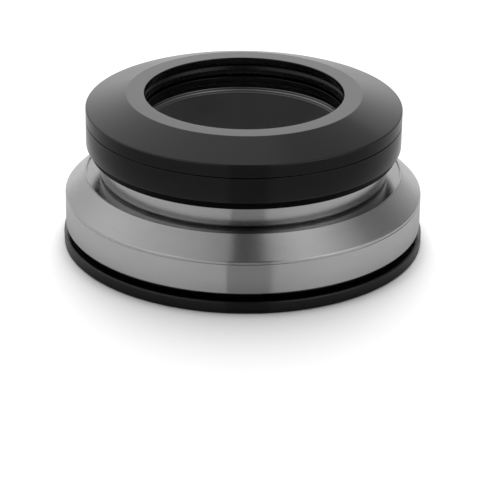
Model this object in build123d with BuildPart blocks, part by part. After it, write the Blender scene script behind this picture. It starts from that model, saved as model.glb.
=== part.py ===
from build123d import *
import os

# Bicycle headset for a tapered steerer, stacked as it is sold: crown race, lower bearing,
# upper bearing, compression ring and two-part cover. Millimetres, +Z up, the axis of the
# steerer on Z and the underside of the crown race on z = 0.

# What the headset fits. Every diameter grows outward from the steerer.
steerer_d = 28.6  # steerer tube, 1 1/8 inch

# Balls, grooves and cages, alike in both bearings
ball_d = 3.175  # 1/8 inch
race_play = 0.06  # groove radius over ball radius
shoulder_angle = 80.0  # how far the groove climbs past the ball's middle, degrees
relief_angle = 15.0  # how far it runs the other way
relief_depth = 0.25  # step back from the groove on the open side
contact_angle = 45.0  # line from inner to outer contact, which the cage lies across
cage_thickness = 0.6
cage_web = 0.45  # cage left beside a pocket
pocket_play = 0.07

# Seals and rims, alike in both bearings
rim_land = 0.2  # flat rim between the big chamfer and the shield
face_recess = 0.25  # shield and seal below the rim
shield_thickness = 0.3
shield_ledge = 0.3  # height of the ledge that the shield lies on
shield_ledge_width = 0.25
shield_over_race = 0.07  # running gap under the shield, which covers the inner race
shield_bore_gap = 0.62  # inner edge of the shield outside the bore
seal_thickness = 0.6
seal_lip = 0.3
seal_gap = 0.12  # running gap at the inner race
race_edge = 0.3  # small chamfer on the outer race
race_round = 0.15  # the outer race's two outside corners
bore_edge = 0.12  # chamfer at the mouth of the bore, which also seats the upper bearing

# Lower bearing, 52 x 40 x 8 with 45 degree chamfers
lower_bore_step = 0.9  # its bore inside the upper bearing's rim, all round
lower_section = 6.0  # from bore to outside
lower_height = 8.0
lower_rim_chamfer = 2.95
lower_seat_chamfer = 1.4
lower_ball_height = 3.7  # ball centres above the seat face
lower_ball_count = 24

# Upper bearing, 41.8 x 30.2 x 7 with 45 degree chamfers
upper_section = 5.8
upper_height = 7.0
upper_rim_chamfer = 2.5
upper_seat_chamfer = 1.3
upper_ball_height = 3.4
upper_ball_count = 18

# Crown race and its rubber lip. Its bore presses on the 39.8 mm seat of a fork crown.
crown_bore_step = 0.1  # its bore inside the lower bearing's
crown_overhang = 0.3  # its rim outside the lower bearing
crown_base = 1.75
crown_edge = 0.25
crown_lead = 0.4  # lead-in under the bore
bearing_lift = 0.9  # lower bearing above the crown race's base
cone_top_land = 0.65  # flat top of the cone, clear of the bore above it
lip_setback = 1.0  # groove inside the lower bearing's outside
lip_groove_width = 0.8
lip_groove_depth = 0.7
lip_gap = 0.15  # under the lower bearing
lip_flare = 0.55
lip_tip = 0.35

# Compression ring
ring_rise = 2.29  # top of the ring above the upper bearing
ring_overhang = 0.6  # past the mouth of the bearing
ring_skirt_wall = 0.7
ring_skirt_gap = 0.1  # skirt inside the bearing's bore
ring_skirt_drop = 6.45  # skirt below the upper bearing's top
ring_bore_chamfer = 0.6
ring_edge = 0.2
ring_slot = 1.8

# Cover, a cap over a skirt
cover_overhang = 1.96  # past the upper bearing
cover_bore_gap = 0.1  # cover's bore around the steerer
cover_wall = 1.25
flange_thickness = 0.6
parting_height = 0.5  # parting line above the flange
parting_gap = 0.2
spigot_gap = 0.06
spigot_top_gap = 0.3
spigot_wall = 1.0
skirt_drop = 3.24  # skirt's lower rim below the flange's top
skirt_wall = 1.36
skirt_edge = 0.15
cap_height = 4.3  # over the flange
cap_flat_width = 2.7  # flat ring on top, from the steerer's radius
cap_cone_drop = 1.9
cap_crown_wall = 1.3
cap_boss_wall = 3.0
cap_bore_edge = 0.35
cap_top_edge = 0.12
cap_rim_fillet = 0.25

# O-ring in the cap's bore and rubber lip in the skirt
o_ring_section = 1.9
o_ring_stand = 0.05  # inner edge of the O-ring off the steerer
o_ring_groove_play = 0.05
o_ring_height = 2.3  # centre above the flange
skirt_seal_root = 1.2
skirt_seal_rebate = 0.66
skirt_seal_drop = 1.1
skirt_seal_flare = 0.1
skirt_seal_tip = 0.45
skirt_seal_gap = 0.4  # off the upper bearing

# Radii, outward from the steerer
steerer_r = steerer_d / 2
upper_bore_r = steerer_r + ring_skirt_wall + ring_skirt_gap
upper_outer_r = upper_bore_r + upper_section
lower_bore_r = upper_outer_r - lower_bore_step
lower_outer_r = lower_bore_r + lower_section
crown_bore_r = lower_bore_r - crown_bore_step
crown_r = lower_outer_r + crown_overhang
cover_r = upper_outer_r + cover_overhang
cover_bore_r = steerer_r + cover_bore_gap
cap_flat_r = steerer_r + cap_flat_width

# Heights up the stack
lower_seat_z = crown_base + bearing_lift
lower_top_z = lower_seat_z + lower_height
lower_inner_top_z = lower_top_z - face_recess - shield_thickness - shield_over_race
# The two 45 degree cones meet: the upper bearing's rim chamfer in the lower bore's mouth
upper_shoulder_z = lower_inner_top_z + upper_outer_r - (lower_bore_r + bore_edge)
upper_top_z = upper_shoulder_z - upper_rim_chamfer + upper_height
ring_top_z = upper_top_z + ring_rise
flange_top_z = ring_top_z + flange_thickness
cap_top_z = flange_top_z + cap_height
parting_z = flange_top_z + parting_height
skirt_bottom_z = flange_top_z - skirt_drop
rim_z = cap_top_z - cap_cone_drop

pieces = {}


def bearing(prefix, seat_side, rim_side, base, bore_r, outer_r, height, rim_chamfer,
            seat_chamfer, ball_height, ball_count):
    """One sealed angular contact bearing, standing on base by its seat face.

    The seat face has the conical mouth in the bore. The rim face has the big chamfer
    outside. Sections are drawn as (radius, height over the seat face).
    """
    section = Plane(base.origin, x_dir=base.x_dir, z_dir=base.x_dir.cross(base.z_dir))
    pitch_r = (outer_r + bore_r) / 2
    groove_r = ball_d / 2 + race_play
    groove_sweep = shoulder_angle + relief_angle
    shield_r = outer_r - rim_chamfer - rim_land
    shield_top = height - face_recess
    shield_base = shield_top - shield_thickness
    inner_top = shield_base - shield_over_race
    shield_inner_r = bore_r + shield_bore_gap
    outer_relief_r = pitch_r + groove_r + relief_depth
    inner_relief_r = pitch_r - groove_r - relief_depth

    with BuildPart() as outer_race:
        with BuildSketch(section) as outer_section:
            with BuildLine():
                groove = CenterArc((pitch_r, ball_height), groove_r, -relief_angle, groove_sweep)
                shoulder = groove @ 1
                open_side = groove @ 0
                Polyline(
                    shoulder,
                    (shoulder.X, shield_base - shield_ledge),
                    (shield_r - shield_ledge_width, shield_base - shield_ledge),
                    (shield_r - shield_ledge_width, shield_base),
                    (shield_r, shield_base),
                    (shield_r, height),
                    (outer_r - rim_chamfer, height),
                    (outer_r, height - rim_chamfer),
                    (outer_r, race_edge),
                    (outer_r - race_edge, 0),
                    (outer_relief_r, 0),
                    (outer_relief_r, open_side.Y),
                    open_side,
                )
            make_face()
            fillet(outer_section.vertices().group_by(Axis.X)[-1], race_round)
        revolve(axis=Axis.Z)

    with BuildPart() as inner_race:
        with BuildSketch(section):
            with BuildLine():
                groove = CenterArc(
                    (pitch_r, ball_height), groove_r, 180 - relief_angle, groove_sweep
                )
                shoulder = groove @ 1
                open_side = groove @ 0
                Polyline(
                    shoulder,
                    (shoulder.X, 0),
                    (bore_r + seat_chamfer, 0),
                    (bore_r, seat_chamfer),
                    (bore_r, inner_top - bore_edge),
                    (bore_r + bore_edge, inner_top),
                    (inner_relief_r, inner_top),
                    (inner_relief_r, open_side.Y),
                    open_side,
                )
            make_face()
        revolve(axis=Axis.Z)

    with BuildPart(base) as balls:
        with Locations((0, 0, ball_height)):
            with PolarLocations(pitch_r, ball_count):
                Sphere(ball_d / 2)

    # The cage is a conical band across the contact line, drilled along that line
    pocket_r = ball_d / 2 + pocket_play
    with BuildPart(base) as ball_cage:
        with BuildSketch(section):
            with Locations((pitch_r, ball_height)):
                Rectangle(cage_thickness, 2 * (pocket_r + cage_web), rotation=contact_angle)
        revolve(axis=Axis.Z)
        with Locations((0, 0, ball_height)):
            with PolarLocations(pitch_r, ball_count):
                Cylinder(
                    pocket_r, ball_d, rotation=(0, 90 - contact_angle, 0), mode=Mode.SUBTRACT
                )

    with BuildPart() as shield:
        with BuildSketch(section):
            with BuildLine():
                Polyline(
                    (shield_inner_r, shield_base),
                    (shield_r, shield_base),
                    (shield_r, shield_top),
                    (shield_inner_r, shield_top),
                    close=True,
                )
            make_face()
        revolve(axis=Axis.Z)

    # The rubber seal is thick at its outer edge and thins to a lip at the inner race
    seal_inner_r = shoulder.X + seal_gap
    seal_lip_r = (seal_inner_r + outer_relief_r) / 2
    with BuildPart() as seal:
        with BuildSketch(section):
            with BuildLine():
                Polyline(
                    (seal_inner_r, face_recess),
                    (outer_relief_r, face_recess),
                    (outer_relief_r, face_recess + seal_thickness),
                    (seal_lip_r, face_recess + seal_thickness),
                    (seal_inner_r, face_recess + seal_lip),
                    close=True,
                )
            make_face()
        revolve(axis=Axis.Z)

    pieces[prefix + "_outer_race"] = outer_race
    pieces[prefix + "_inner_race"] = inner_race
    pieces[prefix + "_balls"] = balls
    pieces[prefix + "_ball_cage"] = ball_cage
    pieces[prefix + "_" + rim_side + "_shield"] = shield
    pieces[prefix + "_" + seat_side + "_seal"] = seal


bearing(
    "lower",
    "bottom",
    "top",
    Plane((0, 0, lower_seat_z), x_dir=(1, 0, 0), z_dir=(0, 0, 1)),
    lower_bore_r,
    lower_outer_r,
    lower_height,
    lower_rim_chamfer,
    lower_seat_chamfer,
    lower_ball_height,
    lower_ball_count,
)

# The upper bearing is the other way up, its seat face on top
bearing(
    "upper",
    "top",
    "bottom",
    Plane((0, 0, upper_top_z), x_dir=(1, 0, 0), z_dir=(0, 0, -1)),
    upper_bore_r,
    upper_outer_r,
    upper_height,
    upper_rim_chamfer,
    upper_seat_chamfer,
    upper_ball_height,
    upper_ball_count,
)

# Crown race: a flat base with a cone that fills the mouth of the lower bearing's bore
lower_mouth_r = lower_bore_r + lower_seat_chamfer
cone_top_r = crown_bore_r + cone_top_land
cone_top_z = lower_seat_z + lower_mouth_r - cone_top_r
lip_groove_outer_r = lower_outer_r - lip_setback
lip_groove_r = lip_groove_outer_r - lip_groove_width
lip_groove_z = crown_base - lip_groove_depth
with BuildPart() as crown_race:
    with BuildSketch(Plane.XZ):
        with BuildLine():
            Polyline(
                (crown_bore_r + crown_lead, 0),
                (crown_r - crown_edge, 0),
                (crown_r, crown_edge),
                (crown_r, crown_base - crown_edge),
                (crown_r - crown_edge, crown_base),
                (lip_groove_outer_r, crown_base),
                (lip_groove_outer_r, lip_groove_z),
                (lip_groove_r, lip_groove_z),
                (lip_groove_r, crown_base),
                (lower_mouth_r + bearing_lift, crown_base),
                (cone_top_r, cone_top_z),
                (crown_bore_r, cone_top_z),
                (crown_bore_r, crown_lead),
                close=True,
            )
        make_face()
    revolve(axis=Axis.Z)
pieces["crown_race"] = crown_race

# Rubber lip in the crown race's groove, flared to just under the lower bearing
lip_top_z = lower_seat_z - lip_gap
lip_tip_r = lip_groove_outer_r + lip_flare
with BuildPart() as crown_race_seal:
    with BuildSketch(Plane.XZ):
        with BuildLine():
            Polyline(
                (lip_groove_r, lip_groove_z),
                (lip_groove_outer_r, lip_groove_z),
                (lip_groove_outer_r, crown_base),
                (lip_tip_r, lip_top_z),
                (lip_tip_r - lip_tip, lip_top_z),
                (lip_groove_r, crown_base),
                close=True,
            )
        make_face()
    revolve(axis=Axis.Z)
pieces["crown_race_seal"] = crown_race_seal

# Compression ring: a split wedge in the mouth of the upper bearing's bore, with a long skirt
upper_mouth_r = upper_bore_r + upper_seat_chamfer
ring_r = upper_mouth_r + ring_overhang
ring_skirt_r = steerer_r + ring_skirt_wall
ring_bottom_z = upper_top_z - ring_skirt_drop
mouth_offset = upper_top_z - upper_mouth_r  # height less radius, all along the cone
with BuildPart() as compression_ring:
    with BuildSketch(Plane.XZ):
        with BuildLine():
            Polyline(
                (steerer_r + ring_edge, ring_bottom_z),
                (ring_skirt_r - ring_edge, ring_bottom_z),
                (ring_skirt_r, ring_bottom_z + ring_edge),
                (ring_skirt_r, ring_skirt_r + mouth_offset),
                (ring_r, ring_r + mouth_offset),
                (ring_r, ring_top_z - ring_edge),
                (ring_r - ring_edge, ring_top_z),
                (steerer_r + ring_bore_chamfer, ring_top_z),
                (steerer_r, ring_top_z - ring_bore_chamfer),
                (steerer_r, ring_bottom_z + ring_edge),
                close=True,
            )
        make_face()
    revolve(axis=Axis.Z)
    with BuildSketch(Plane.XY.offset(ring_top_z)):
        with Locations((0, -(steerer_r + ring_r) / 2)):
            Rectangle(ring_slot, ring_r - steerer_r + ring_slot)
    extrude(amount=ring_bottom_z - ring_top_z, mode=Mode.SUBTRACT)
pieces["compression_ring"] = compression_ring

# Inside of the cap, which the skirt's spigot reaches up to
cone_slope = cap_cone_drop / (cover_r - cap_flat_r)
under_flat_z = cap_top_z - cap_crown_wall


def under_cone_z(radius):
    """Height of the cap's inner surface at a radius."""
    return under_flat_z - max(0, radius - cap_flat_r) * cone_slope


# Cover skirt: a flange on the compression ring, a wall outside and a spigot for the cap
flange_bore_r = steerer_r + ring_bore_chamfer
skirt_inner_r = cover_r - skirt_wall
cap_inner_r = cover_r - cover_wall
spigot_r = cap_inner_r - spigot_gap
spigot_inner_r = spigot_r - spigot_wall
spigot_top_z = under_cone_z(spigot_r) - spigot_top_gap
seal_rebate_r = skirt_inner_r + skirt_seal_rebate
with BuildPart() as cover_skirt:
    with BuildSketch(Plane.XZ):
        with BuildLine():
            Polyline(
                (flange_bore_r, ring_top_z),
                (skirt_inner_r, ring_top_z),
                (skirt_inner_r, skirt_bottom_z + skirt_seal_root),
                (seal_rebate_r, skirt_bottom_z + skirt_seal_root),
                (seal_rebate_r, skirt_bottom_z),
                (cover_r - skirt_edge, skirt_bottom_z),
                (cover_r, skirt_bottom_z + skirt_edge),
                (cover_r, parting_z - parting_gap / 2 - skirt_edge),
                (cover_r - skirt_edge, parting_z - parting_gap / 2),
                (spigot_r, parting_z - parting_gap / 2),
                (spigot_r, spigot_top_z),
                (spigot_inner_r, spigot_top_z),
                (spigot_inner_r, flange_top_z),
                (flange_bore_r, flange_top_z),
                close=True,
            )
        make_face()
    revolve(axis=Axis.Z)
pieces["cover_skirt"] = cover_skirt

# Cover cap: a shallow cone with a flat ring on top, a boss round the steerer and a groove
boss_r = cover_bore_r + cap_boss_wall
groove_half = o_ring_section / 2 + o_ring_groove_play
o_ring_z = flange_top_z + o_ring_height
o_ring_centre_r = steerer_r + o_ring_stand + o_ring_section / 2
groove_floor_r = o_ring_centre_r + groove_half
with BuildPart() as cover_cap:
    with BuildSketch(Plane.XZ):
        with BuildLine():
            Polyline(
                (cover_bore_r, cap_top_z - cap_top_edge),
                (cover_bore_r + cap_top_edge, cap_top_z),
                (cap_flat_r, cap_top_z),
                (cover_r, rim_z),
                (cover_r, parting_z + parting_gap / 2 + skirt_edge),
                (cover_r - skirt_edge, parting_z + parting_gap / 2),
                (cap_inner_r, parting_z + parting_gap / 2),
                (cap_inner_r, under_cone_z(cap_inner_r)),
                (boss_r, under_cone_z(boss_r)),
                (boss_r, flange_top_z),
                (cover_bore_r + cap_bore_edge, flange_top_z),
                (cover_bore_r, flange_top_z + cap_bore_edge),
                close=True,
            )
        make_face()
        with Locations(((cover_bore_r + groove_floor_r) / 2, o_ring_z)):
            Rectangle(groove_floor_r - cover_bore_r, 2 * groove_half, mode=Mode.SUBTRACT)
    revolve(axis=Axis.Z)
    widest = cover_cap.edges().filter_by(GeomType.CIRCLE).group_by(SortBy.RADIUS)[-1]
    fillet(widest.sort_by(Axis.Z)[-1], cap_rim_fillet)
pieces["cover_cap"] = cover_cap

with BuildPart() as bore_o_ring:
    with BuildSketch(Plane.XZ):
        with Locations((o_ring_centre_r, o_ring_z)):
            Circle(o_ring_section / 2)
    revolve(axis=Axis.Z)
pieces["bore_o_ring"] = bore_o_ring

# Rubber lip under the skirt, clear of the upper bearing
skirt_seal_inner_r = upper_outer_r + skirt_seal_gap
skirt_seal_bottom_z = skirt_bottom_z - skirt_seal_drop
skirt_seal_tip_r = seal_rebate_r + skirt_seal_flare
with BuildPart() as skirt_seal:
    with BuildSketch(Plane.XZ):
        with BuildLine():
            Polyline(
                (skirt_seal_inner_r, skirt_bottom_z + skirt_seal_root),
                (seal_rebate_r, skirt_bottom_z + skirt_seal_root),
                (seal_rebate_r, skirt_bottom_z),
                (skirt_seal_tip_r, skirt_seal_bottom_z),
                (skirt_seal_tip_r - skirt_seal_tip, skirt_seal_bottom_z),
                (skirt_seal_inner_r, skirt_bottom_z),
                close=True,
            )
        make_face()
    revolve(axis=Axis.Z)
pieces["skirt_seal"] = skirt_seal

os.makedirs("parts", exist_ok=True)
for name, piece in pieces.items():
    piece.part.label = name
    export_step(piece.part, f"parts/{name}.step")
    print(name, len(piece.part.solids()), "solids", round(piece.part.volume, 1), "mm3")
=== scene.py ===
import math

import bmesh
import bpy
from mathutils import Matrix, Vector


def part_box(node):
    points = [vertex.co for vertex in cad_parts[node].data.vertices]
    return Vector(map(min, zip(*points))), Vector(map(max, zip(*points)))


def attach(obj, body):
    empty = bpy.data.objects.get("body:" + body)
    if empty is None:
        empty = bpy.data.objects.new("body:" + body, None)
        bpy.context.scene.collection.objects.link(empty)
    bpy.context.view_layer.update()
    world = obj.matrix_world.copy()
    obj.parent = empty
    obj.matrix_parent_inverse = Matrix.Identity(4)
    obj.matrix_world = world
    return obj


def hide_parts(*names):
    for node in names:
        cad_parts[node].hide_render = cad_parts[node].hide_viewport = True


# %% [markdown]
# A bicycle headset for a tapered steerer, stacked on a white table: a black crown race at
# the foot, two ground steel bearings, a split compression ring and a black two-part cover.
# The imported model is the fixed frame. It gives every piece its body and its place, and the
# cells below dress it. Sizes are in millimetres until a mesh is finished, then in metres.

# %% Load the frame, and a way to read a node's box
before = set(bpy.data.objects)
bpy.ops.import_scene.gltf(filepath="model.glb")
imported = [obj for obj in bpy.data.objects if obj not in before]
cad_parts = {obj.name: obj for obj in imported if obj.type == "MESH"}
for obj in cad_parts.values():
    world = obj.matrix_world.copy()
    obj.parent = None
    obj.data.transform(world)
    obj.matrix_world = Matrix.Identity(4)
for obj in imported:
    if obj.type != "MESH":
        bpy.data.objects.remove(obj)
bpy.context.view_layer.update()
MM = 0.001


def extent(node):
    """Outer radius, underside and top of a turned node, in millimetres."""
    low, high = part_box(node)
    return high.x / MM, low.z / MM, high.z / MM


# %% [markdown]
# The camera comes first, because every piece is judged through it. It is a long lens about
# 30 cm off, looking 25 degrees down with next to no roll. The ellipses of the photograph's
# rims gave these numbers: the lens from how much smaller the back of each rim looks than
# its front, the height from how round the rims are.

# %% The camera
IMAGE_PX = 480
SENSOR_MM = 36.0
FOCAL_PX = 2108.77
CAMERA_DISTANCE = 308.6
CAMERA_ELEVATION = math.radians(24.82)
CAMERA_ROLL = math.radians(0.654)
AIM = Vector((0, 0, 10.0))
AIM_PX = (243.29, 171.93)


def place_camera():
    """Makes the scene's camera, so that AIM is seen at AIM_PX."""
    forward = Vector((0, math.cos(CAMERA_ELEVATION), -math.sin(CAMERA_ELEVATION)))
    level_up = Vector((0, math.sin(CAMERA_ELEVATION), math.cos(CAMERA_ELEVATION)))
    level_right = Vector((1, 0, 0))
    right = level_right * math.cos(CAMERA_ROLL) + level_up * math.sin(CAMERA_ROLL)
    up = level_up * math.cos(CAMERA_ROLL) - level_right * math.sin(CAMERA_ROLL)
    across = (AIM_PX[0] - IMAGE_PX / 2) / FOCAL_PX * CAMERA_DISTANCE
    above = (IMAGE_PX / 2 - AIM_PX[1]) / FOCAL_PX * CAMERA_DISTANCE
    spot = (AIM - right * across - up * above - forward * CAMERA_DISTANCE) * MM
    data = bpy.data.cameras.new("Camera")
    data.sensor_width = SENSOR_MM
    data.lens = SENSOR_MM * FOCAL_PX / IMAGE_PX
    data.clip_start = 0.01
    data.clip_end = 20.0
    camera = bpy.data.objects.new("Camera", data)
    bpy.context.scene.collection.objects.link(camera)
    turn = Matrix((right, up, -forward)).transposed().to_4x4()
    camera.matrix_world = Matrix.Translation(spot) @ turn
    bpy.context.scene.camera = camera
    print("camera", [round(v, 4) for v in spot], "lens", round(data.lens, 2), "mm")


place_camera()

# %% [markdown]
# Every finish below is a small graph of nodes. One function adds any node with its settings
# and its links, and one turns a colour as it is written on the web into the linear numbers
# that a shader needs. All patterns read Object coordinates in metres, so that a size in
# millimetres gives a pattern its scale.

# %% Helpers for the finishes
def add(tree, kind, inputs=None, **settings):
    """Adds a node. An input is a value, a socket, or a node whose result feeds it."""
    made = tree.nodes.new(kind)
    for name, value in settings.items():
        setattr(made, name, value)
    for socket, value in (inputs or {}).items():
        if isinstance(value, bpy.types.Node):
            value = next(output for output in value.outputs if output.enabled)
        if isinstance(value, bpy.types.NodeSocket):
            tree.links.new(value, made.inputs[socket])
        else:
            made.inputs[socket].default_value = value
    return made


def linear(hex_colour):
    """An sRGB hex colour as linear RGBA."""
    channels = [int(hex_colour[i : i + 2], 16) / 255 for i in (1, 3, 5)]
    return (*[c / 12.92 if c <= 0.04045 else ((c + 0.055) / 1.055) ** 2.4 for c in channels], 1)


def new_material(name):
    """An empty node material, as (material, tree)."""
    material = bpy.data.materials.new(name)
    material.use_nodes = True
    material.node_tree.nodes.clear()
    print("material", name)
    return material, material.node_tree


def per_mm(size_mm):
    """A texture's scale for features of a size, because coordinates are in metres."""
    return 1 / (size_mm * MM)


print("sRGB #808080 is", round(linear("#808080")[0], 3), "in linear light")

# %% [markdown]
# A turned or ground surface carries its tool's lines round the axis. Their noise must vary
# quickly with radius and height and slowly around, without a seam where the angle starts
# again. So the angle goes in as its cosine and sine: a four-dimensional noise reads radius,
# height, cosine and sine.

# %% Lines round the axis
def turned_noise(tree, line_mm, around, detail=3.0):
    """Noise drawn out round the Z axis: lines of line_mm, about `around` changes per turn."""
    place = add(tree, "ShaderNodeTexCoord").outputs["Object"]
    flat = add(tree, "ShaderNodeVectorMath", {0: place, 1: (1, 1, 0)}, operation="MULTIPLY")
    radius = add(tree, "ShaderNodeVectorMath", {0: flat}, operation="LENGTH")
    unit = add(tree, "ShaderNodeVectorMath", {0: flat}, operation="NORMALIZE")
    parts = add(tree, "ShaderNodeSeparateXYZ", {0: unit}).outputs
    height = add(tree, "ShaderNodeSeparateXYZ", {0: place}).outputs["Z"]
    scale = per_mm(line_mm)
    near = add(tree, "ShaderNodeMath", {0: radius, 1: scale}, operation="MULTIPLY")
    tall = add(tree, "ShaderNodeMath", {0: height, 1: scale}, operation="MULTIPLY")
    cosine = add(tree, "ShaderNodeMath", {0: parts["X"], 1: around}, operation="MULTIPLY")
    sine = add(tree, "ShaderNodeMath", {0: parts["Y"], 1: around}, operation="MULTIPLY")
    spot = add(tree, "ShaderNodeCombineXYZ", {0: near, 1: tall, 2: cosine})
    return add(
        tree,
        "ShaderNodeTexNoise",
        {"Vector": spot, "W": sine, "Scale": 1.0, "Detail": detail},
        noise_dimensions="4D",
    )


# %% [markdown]
# The bearings are ground steel. Grinding leaves lines round the axis, far finer than a pixel,
# and they smear each reflection across them, up and down the ring. That is what turns the
# lights into the bright and dark upright bars of the photograph. The anisotropic gloss does
# the same: its tangent runs round the axis, and a quarter turn lays the smear across it.
# The lines that can be seen are drawn 0.12 mm apart, coarser than the real ones.
#
# The lower bearing's narrow rim gets a greyer band at that one height, a painted shade that takes
# the glare off it. The upper bearing was ground a little finer, and mirrors a little more.

# %% Ground bearing steel
GRINDING_LINE = 0.12
GRINDING_PATCH = 2.4
SCRATCH_LINE = 0.16
GLOSS_SPREAD = 0.1
GRINDING_HEIGHT = 0.0005
PAINTED_RIM_BAND_HALF_HEIGHT = 0.07


def ground_steel(name, dullest, rim_z=None):
    """Steel with lines round the axis. A band at rim_z is painted greyer, as painted shade against
    the rim's glare.
    """
    material, tree = new_material(name)
    place = add(tree, "ShaderNodeTexCoord").outputs["Object"]
    lines = turned_noise(tree, GRINDING_LINE, 6.0)
    patches = turned_noise(tree, GRINDING_PATCH, 1.2)
    scratches = turned_noise(tree, SCRATCH_LINE, 120.0, detail=1.0)
    ground = add(
        tree,
        "ShaderNodeMix",
        {0: lines, 6: linear("#CDCDCE"), 7: linear("#DEDEDF")},
        data_type="RGBA",
    )
    scratch = add(
        tree, "ShaderNodeMapRange", {"Value": scratches, "From Min": 0.74, "From Max": 0.78}
    )
    marked = add(
        tree, "ShaderNodeMix", {0: scratch, 6: ground, 7: linear("#B4B4B4")}, data_type="RGBA"
    )
    # Painted shade: a greyer band at the rim's height takes the glare off the rim.
    if rim_z is not None:
        height = add(tree, "ShaderNodeSeparateXYZ", {0: place}).outputs["Z"]
        rim = add(
            tree,
            "ShaderNodeMath",
            {0: height, 1: rim_z * MM, 2: PAINTED_RIM_BAND_HALF_HEIGHT * MM},
            operation="COMPARE",
        )
        marked = add(
            tree, "ShaderNodeMix", {0: rim, 6: marked, 7: linear("#A6A6A7")}, data_type="RGBA"
        )
    gloss = add(
        tree,
        "ShaderNodeMapRange",
        {"Value": patches, "To Min": dullest - GLOSS_SPREAD, "To Max": dullest},
    )
    around = add(
        tree, "ShaderNodeVectorMath", {0: (0, 0, 1), 1: place}, operation="CROSS_PRODUCT"
    )
    bump = add(
        tree,
        "ShaderNodeBump",
        {"Height": lines, "Distance": GRINDING_HEIGHT * MM, "Strength": 1.0},
    )
    shader = add(
        tree,
        "ShaderNodeBsdfPrincipled",
        {
            "Base Color": marked,
            "Metallic": 1.0,
            "Roughness": gloss,
            "Anisotropic": 1.0,
            "Anisotropic Rotation": 0.25,
            "Tangent": around,
            "Normal": bump,
        },
    )
    add(tree, "ShaderNodeOutputMaterial", {"Surface": shader})
    return material


upper_steel = ground_steel("Ground bearing steel", dullest=0.24)
# The lower bearing's rim gets a greyer band, a painted shade against its glare.
lower_steel = ground_steel(
    "Ground bearing steel, rim with painted shade", dullest=0.27, rim_z=extent("lower_outer_race")[2]
)

# %% [markdown]
# The shields are thin sheet steel, pressed and then blackened in hot oxide against rust. The
# oxide is a thin dark skin that keeps the sheet's smooth gloss: dark beside the bright ring,
# light only where the white room lies behind it. One cloudy noise moves its colour and its
# gloss together, as an oxide bath does. The balls are hardened chrome steel, polished like a
# mirror, with only a haze on them.

# %% Blackened shields and polished balls
OXIDE_CLOUD = 1.5
POLISH_HAZE = 0.8


def blackened_steel():
    material, tree = new_material("Blackened sheet steel")
    place = add(tree, "ShaderNodeTexCoord").outputs["Object"]
    cloud = add(
        tree, "ShaderNodeTexNoise", {"Vector": place, "Scale": per_mm(OXIDE_CLOUD), "Detail": 4.0}
    )
    oxide = add(
        tree,
        "ShaderNodeMix",
        {0: cloud, 6: linear("#848485"), 7: linear("#9B9B9C")},
        data_type="RGBA",
    )
    gloss = add(tree, "ShaderNodeMapRange", {"Value": cloud, "To Min": 0.12, "To Max": 0.29})
    shader = add(
        tree,
        "ShaderNodeBsdfPrincipled",
        {"Base Color": oxide, "Metallic": 1.0, "Roughness": gloss},
    )
    add(tree, "ShaderNodeOutputMaterial", {"Surface": shader})
    return material


def ball_steel():
    material, tree = new_material("Polished chrome steel")
    place = add(tree, "ShaderNodeTexCoord").outputs["Object"]
    haze = add(
        tree, "ShaderNodeTexNoise", {"Vector": place, "Scale": per_mm(POLISH_HAZE), "Detail": 2.0}
    )
    gloss = add(tree, "ShaderNodeMapRange", {"Value": haze, "To Min": 0.02, "To Max": 0.12})
    shader = add(
        tree,
        "ShaderNodeBsdfPrincipled",
        {"Base Color": linear("#D8D8DA"), "Metallic": 1.0, "Roughness": gloss},
    )
    add(tree, "ShaderNodeOutputMaterial", {"Surface": shader})
    return material


sheet = blackened_steel()
chrome = ball_steel()

# %% [markdown]
# The cover and the crown race are aluminium, blasted fine and anodised black. The dyed oxide
# is a clear hard film over nearly black, so it shines like a dielectric, not like a metal:
# dark seen head on, bright at a glance. Its index is that of aluminium oxide. The grain of
# the blasting is 0.05 mm in reality, and is drawn at 0.15 mm so that it shows at all.

# %% Black anodised aluminium
BLASTED_GRAIN = 0.15
BLASTED_HEIGHT = 0.0003
TURNED_LINE = 0.14
DYE_PATCH = 5.0


def anodised(name, dark, light, roughness, index, facing, line_height_mm, bare_from=None):
    """Dyed oxide, dark to light by its patches. facing tints the gloss seen head on."""
    material, tree = new_material(name)
    place = add(tree, "ShaderNodeTexCoord").outputs["Object"]
    grain = add(
        tree,
        "ShaderNodeTexNoise",
        {"Vector": place, "Scale": per_mm(BLASTED_GRAIN), "Detail": 2.0},
    )
    lines = turned_noise(tree, TURNED_LINE, 5.0)
    dye = turned_noise(tree, DYE_PATCH, 1.5)
    colour = add(
        tree, "ShaderNodeMix", {0: dye, 6: linear(dark), 7: linear(light)}, data_type="RGBA"
    )
    gloss = add(
        tree,
        "ShaderNodeMapRange",
        {
            "Value": grain,
            "To Min": roughness - GLOSS_SPREAD / 2,
            "To Max": roughness + GLOSS_SPREAD / 2,
        },
    )
    grained = add(
        tree,
        "ShaderNodeBump",
        {"Height": grain, "Distance": BLASTED_HEIGHT * MM, "Strength": 1.0},
    )
    lined = add(
        tree,
        "ShaderNodeBump",
        {"Height": lines, "Distance": line_height_mm * MM, "Strength": 1.0, "Normal": grained},
    )
    bare = 0.0
    if bare_from is not None:
        bare = bare_crests(tree, bare_from)
        colour = add(
            tree, "ShaderNodeMix", {0: bare, 6: colour, 7: linear("#C8C8C9")}, data_type="RGBA"
        )
    shader = add(
        tree,
        "ShaderNodeBsdfPrincipled",
        {
            "Base Color": colour,
            "Metallic": bare,
            "Roughness": gloss,
            "IOR": index,
            "Specular Tint": linear(facing),
            "Normal": lined,
        },
    )
    add(tree, "ShaderNodeOutputMaterial", {"Surface": shader})
    return material


black_anodised = anodised(
    "Black anodised aluminium",
    dark="#090909",
    light="#131313",
    roughness=0.15,
    index=1.75,
    facing="#CCCCCC",
    line_height_mm=0.0002,
)

# %% [markdown]
# The compression ring is dyed grey. Its mouth was turned again after dyeing, so the crests
# that the tool left there are bare and bright, in fine rings 0.3 mm of height apart. A mask
# that folds the height into a zigzag finds them, so no picture has to be laid round the ring.

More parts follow.
